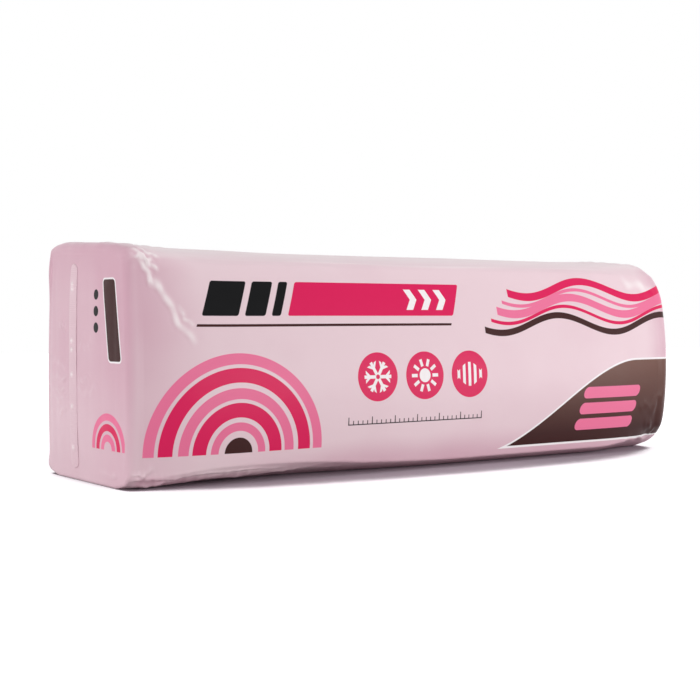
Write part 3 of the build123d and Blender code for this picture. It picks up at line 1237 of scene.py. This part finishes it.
def floor_material(name):
    """Pale floor that looks white, with a mauve shadow beside the bag.

    Where it is seen it glows by how open it is, read from ambient occlusion through a steep ramp.
    Away from the bag's middle it counts as more open, by a parabola along the bag and a steeper one
    near the right end, so that the shadow runs out before both ends.
    """
    material = bpy.data.materials.new(name)
    material.use_nodes = True
    tree = material.node_tree
    nodes, links = tree.nodes, tree.links
    shader = nodes["Principled BSDF"]
    shader.inputs["Roughness"].default_value = 0.9
    shader.inputs["Specular IOR Level"].default_value = 0.1
    seen = seen_rays(tree)
    pale = Inks(tree, (0.52, 0.51, 0.51))
    pale.lay(seen, (0.41, 0.35, 0.40))
    links.new(pale.colour, shader.inputs["Base Color"])

    place = nodes.new("ShaderNodeTexCoord").outputs["Object"]
    away = nodes.new("ShaderNodeVectorMath")
    away.operation = "LENGTH"
    links.new(place, away.inputs[0])
    far = (Mark(tree, away.outputs["Value"]) * 1.2 - 0.75).most(0.0).least(1.0)
    split = nodes.new("ShaderNodeSeparateXYZ")
    links.new(place, split.inputs["Vector"])
    aside = Mark(tree, split.outputs["X"]) - 0.05
    beyond = (aside - 0.25).most(0.0)
    lit = aside * aside * 0.8 + beyond * beyond * 2.5
    nook = nodes.new("ShaderNodeAmbientOcclusion")
    nook.inputs["Distance"].default_value = 0.15
    open_share = ((Mark(tree, nook.outputs["AO"]) + lit - 0.79) / 0.10).most(0.0).least(1.0)
    glow = nodes.new("ShaderNodeEmission")
    glow.inputs["Color"].default_value = (1.0, 1.0, 1.0, 1.0)
    links.new((open_share * (far * 0.25 + 0.80) * seen).value, glow.inputs["Strength"])

    both = nodes.new("ShaderNodeAddShader")
    links.new(shader.outputs[0], both.inputs[0])
    links.new(glow.outputs[0], both.inputs[1])
    links.new(both.outputs[0], nodes["Material Output"].inputs["Surface"])
    return material


# The floor's half side, and its level a little below the bag, in metres
FLOOR_HALF_SIDE = 7.0
FLOOR_LEVEL = -0.0004


class OBJECT_OT_batt_bag_studio(Operator):
    """Set the pale floor, the soft lights and the camera"""

    bl_idname = "object.batt_bag_studio"
    bl_label = "Studio"

    def execute(self, context):
        settings = context.scene.batt_bag.studio
        scene = context.scene
        scene.view_settings.view_transform = "Standard"
        self.lay_floor()
        self.set_world(scene, settings.ambient)
        self.hang_light(scene, "top_light", (0.1, -0.3, 2.4), (0.0, 0.0, 0.2), (2.6, 2.0), settings.top_power)
        # The film doesn't mirror these lamps, which would burn out its top in other views
        for name, place, aim, size, power in (
            ("front_light", (1.75, -2.80, 0.90), (0.1, 0.0, 0.2), (3.4, 1.5), settings.front_power),
            ("back_light", (0.4, 3.2, 0.65), (0.0, 0.0, 0.2), (2.6, 1.0), settings.back_power),
            ("end_light", (-3.00, -0.25, 0.42), (-0.6, 0.0, 0.2), (1.6, 0.8), settings.end_power),
        ):
            lamp = self.hang_light(scene, name, place, aim, size, power)
            lamp.visible_glossy = False
        # This low one is only mirrored, as the sheen on the folds of the front
        place, aim = (1.75, -2.80, 0.30), (0.1, 0.0, 0.28)
        sheen = self.hang_light(scene, "sheen_light", place, aim, (3.4, 0.7), settings.sheen_power)
        sheen.visible_diffuse = False
        self.set_camera(scene, settings)
        return {"FINISHED"}

    def lay_floor(self):
        corners = []
        for side, depth in ((-1, -1), (1, -1), (1, 1), (-1, 1)):
            corners.append((side * FLOOR_HALF_SIDE, depth * FLOOR_HALF_SIDE, FLOOR_LEVEL))
        mesh = bpy.data.meshes.new("floor")
        mesh.from_pydata(corners, [], [(0, 1, 2, 3)])
        show("floor", mesh, floor_material("pale_floor"))

    def set_world(self, scene, ambient):
        world = bpy.data.worlds.new("white_room")
        scene.world = world
        world.use_nodes = True
        tree = world.node_tree
        background = tree.nodes["Background"]
        background.inputs["Color"].default_value = (1.0, 1.0, 1.0, 1.0)
        strength = seen_rays(tree) * (1.0 - ambient) + ambient
        tree.links.new(strength.value, background.inputs["Strength"])

    def hang_light(self, scene, name, place, aim, size, power):
        light = bpy.data.lights.new(name, "AREA")
        light.shape = "RECTANGLE"
        light.size, light.size_y = size
        light.energy = power
        lamp = bpy.data.objects.new(name, light)
        lamp.location = place
        lamp.rotation_euler = (Vector(aim) - Vector(place)).to_track_quat("-Z", "Y").to_euler()
        scene.collection.objects.link(lamp)
        return lamp

    def set_camera(self, scene, settings):
        view = bpy.data.cameras.new("camera")
        view.sensor_width = 36.0
        view.lens = settings.focal
        camera = bpy.data.objects.new("camera", view)
        ahead = Vector((np.sin(-settings.azimuth), np.cos(-settings.azimuth), 0.0))
        right = Vector((ahead.y, -ahead.x, 0.0))
        upright = Vector((0.0, 0.0, 1.0))
        camera.location = right * settings.side_shift - ahead * settings.distance + upright * settings.height
        look = ahead * float(np.cos(settings.tilt)) - upright * float(np.sin(settings.tilt))
        camera.rotation_euler = look.to_track_quat("-Z", "Y").to_euler()
        scene.collection.objects.link(camera)
        scene.camera = camera


class VIEW3D_PT_batt_bag(Panel):
    """Sidebar list of the bag's pieces"""

    bl_label = "Bag of batts"
    bl_space_type = "VIEW_3D"
    bl_region_type = "UI"
    bl_category = "Batts"

    def draw(self, context):
        settings = context.scene.batt_bag
        for group, names in (
            (settings.sizes, BagSizes.__annotations__),
            (settings.colours, BagColours.__annotations__),
            (settings.studio, StudioSettings.__annotations__),
        ):
            box = self.layout.box()
            for name in names:
                box.prop(group, name)
        for piece in PIECES:
            self.layout.operator(piece.bl_idname)


PIECES = (
    OBJECT_OT_batt_bag_film,
    OBJECT_OT_batt_bag_seals,
    OBJECT_OT_batt_bag_wool,
    OBJECT_OT_batt_bag_studio,
)
CLASSES = (BagSizes, BagColours, StudioSettings, BattBag, *PIECES, VIEW3D_PT_batt_bag)


def register():
    for item in CLASSES:
        bpy.utils.register_class(item)
    bpy.types.Scene.batt_bag = PointerProperty(type=BattBag)


def unregister():
    del bpy.types.Scene.batt_bag
    for item in reversed(CLASSES):
        bpy.utils.unregister_class(item)


def main():
    register()
    bpy.ops.object.batt_bag_film()
    bpy.ops.object.batt_bag_seals()
    bpy.ops.object.batt_bag_wool()
    bpy.ops.object.batt_bag_studio()


if __name__ == "__main__":
    main()
